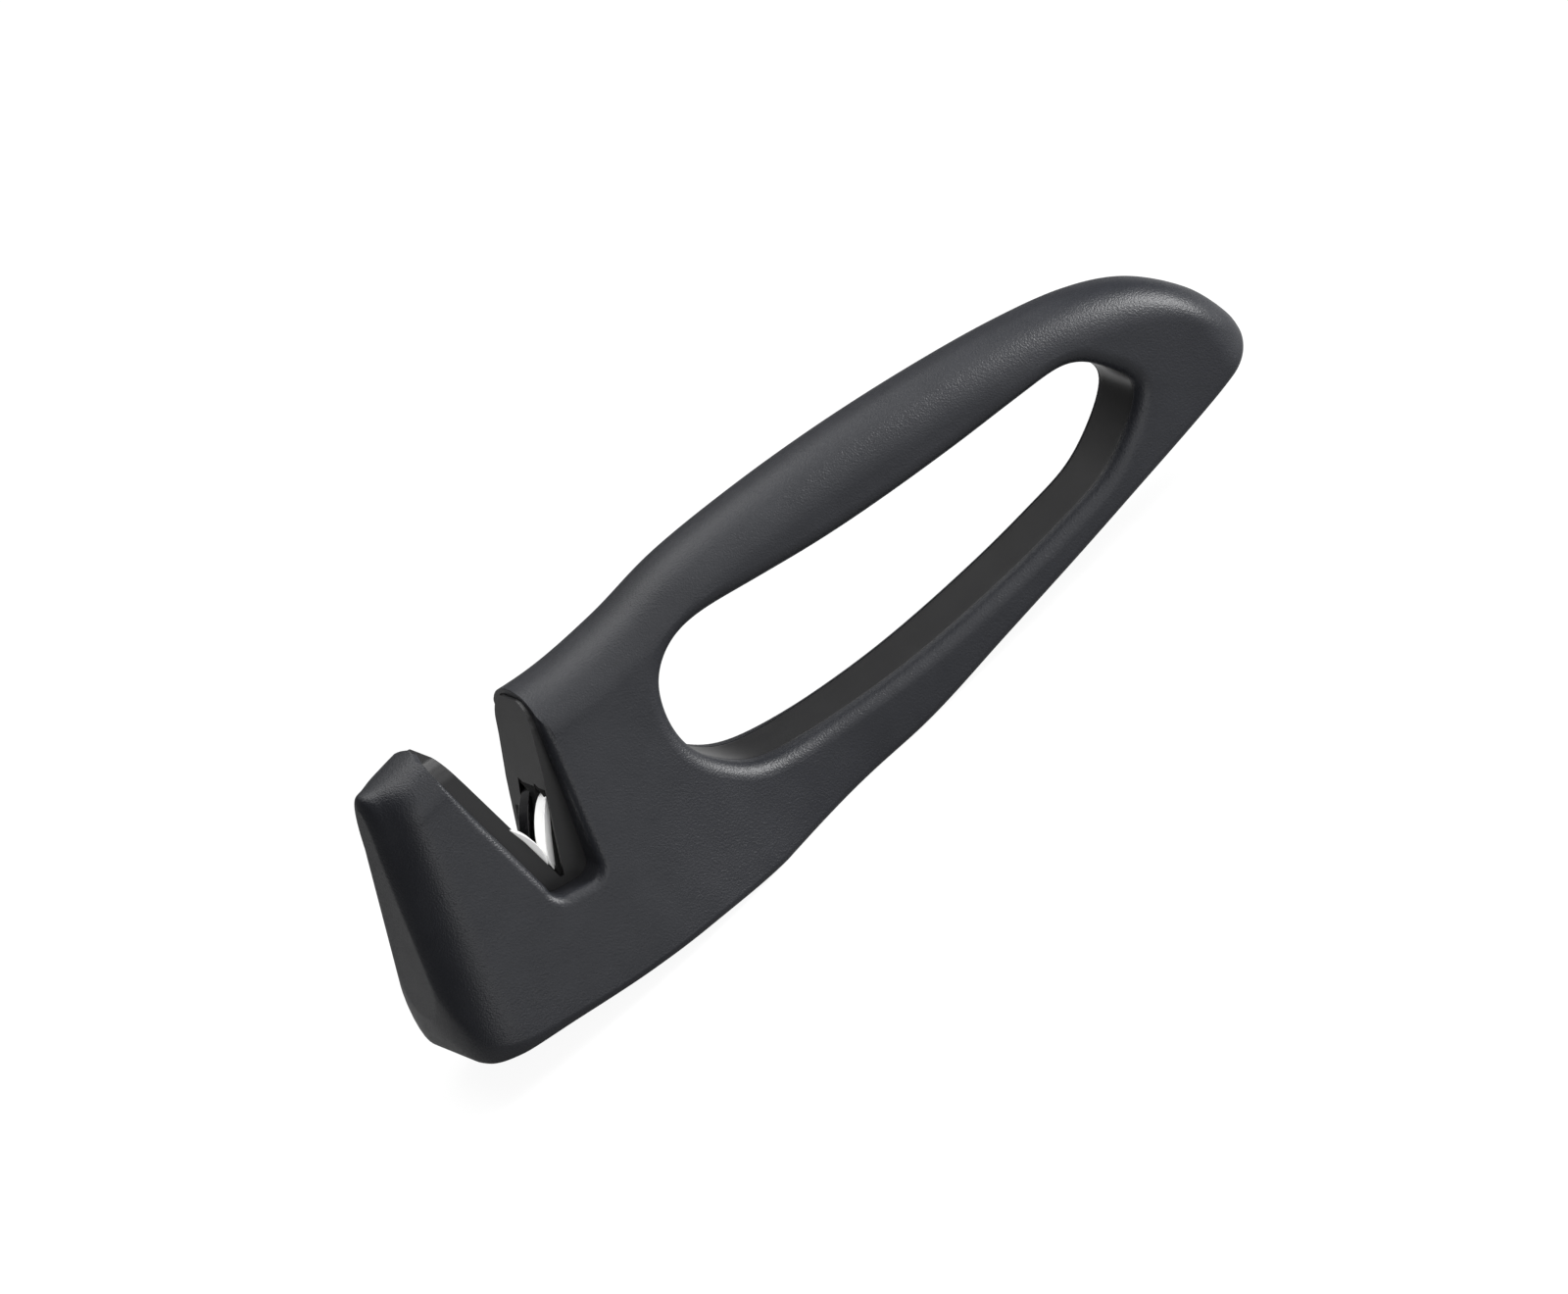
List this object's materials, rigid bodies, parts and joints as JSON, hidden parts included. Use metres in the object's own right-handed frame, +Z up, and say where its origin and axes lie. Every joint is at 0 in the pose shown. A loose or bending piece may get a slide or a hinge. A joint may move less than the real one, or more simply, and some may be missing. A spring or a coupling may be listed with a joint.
{
  "type": "hand-held knife sharpener",
  "caption": "Black loop-handled knife sharpener with a slot in its head, where tilted ceramic rollers turn as a blade is drawn through.",
  "frame": {"origin": "on the table, under the middle of the length and of the thickness", "axes": "+X from the head to the tail, +Y from the pictured front to the back, +Z up"},
  "size_m": [0.198, 0.0414, 0.06],
  "materials": {
    "cover": "satin, fine grain",
    "frame": "smooth satin",
    "guide": "smooth satin",
    "ceramic": "polished white ceramic",
    "coarse_grit": "black, glossy",
    "steel": "ground"
  },
  "bodies": {
    "housing": {"front_cover": "cover", "back_cover": "cover", "core_frame": "frame", "slot_guide": "guide", "left_carrier": "guide", "right_carrier": "guide", "front_left_axle": "steel", "front_right_axle": "steel", "rear_left_axle": "steel", "rear_right_axle": "steel", "roller_washers": "steel"},
    "front_left_roller": {"front_left_roller": "ceramic"},
    "front_right_roller": {"front_right_roller": "ceramic"},
    "rear_left_roller": {"rear_left_roller": "coarse_grit"},
    "rear_right_roller": {"rear_right_roller": "coarse_grit"}
  },
  "joints": [
    {"name": "front_left_spin", "type": "hinge", "parent": "housing", "child": "front_left_roller", "pos_m": [-0.07042, -0.0037, 0.03255], "axis": [-0.7675, -0.6103, -0.1964], "continuous": true},
    {"name": "rear_left_spin", "type": "hinge", "parent": "housing", "child": "rear_left_roller", "pos_m": [-0.07042, 0.0037, 0.03255], "axis": [-0.7675, -0.6103, -0.1964], "continuous": true},
    {"name": "front_right_spin", "type": "hinge", "parent": "housing", "child": "front_right_roller", "pos_m": [-0.05877, -0.0037, 0.03071], "axis": [0.6692, -0.6103, -0.4239], "continuous": true},
    {"name": "rear_right_spin", "type": "hinge", "parent": "housing", "child": "rear_right_roller", "pos_m": [-0.05877, 0.0037, 0.03071], "axis": [0.6692, -0.6103, -0.4239], "continuous": true}
  ]
}
